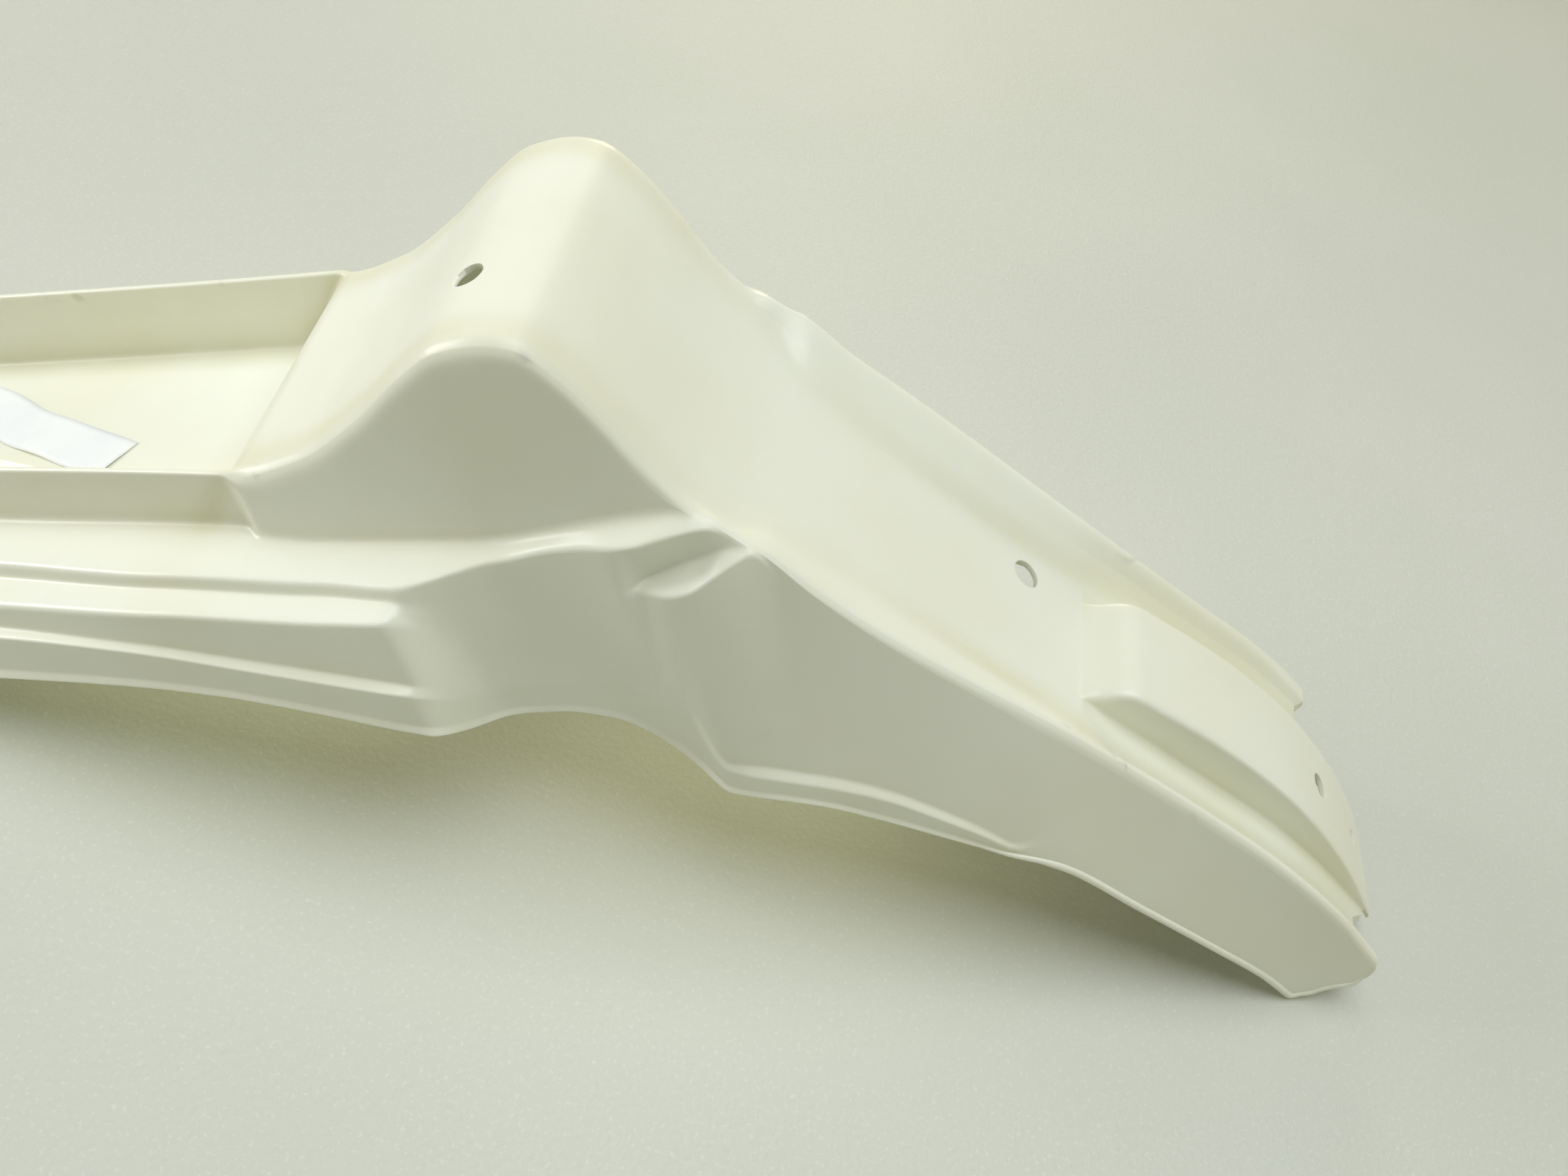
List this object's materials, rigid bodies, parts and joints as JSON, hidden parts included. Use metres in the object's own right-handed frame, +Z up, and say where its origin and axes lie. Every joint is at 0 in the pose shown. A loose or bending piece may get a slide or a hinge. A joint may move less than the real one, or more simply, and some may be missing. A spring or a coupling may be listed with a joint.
{
  "type": "motorcycle rear fender",
  "caption": "Moulded ivory plastic rear fender with a shallow tray, a raised hump, a troughed tail with a central tongue, and stepped side skirts.",
  "frame": {"origin": "middle of the bounding box in X and Y, on the surface the fender rests on", "axes": "+X back along the fender from the tray to the tail, +Y across it towards the far side in the picture, +Z up as it rests"},
  "size_m": [0.624, 0.1864, 0.2056],
  "materials": {
    "fender_plastic": "glossy ivory-white injection moulding, fine scuffs, dust in the folds"
  },
  "bodies": {
    "root": {"rear_fender": "fender_plastic"}
  },
  "joints": []
}
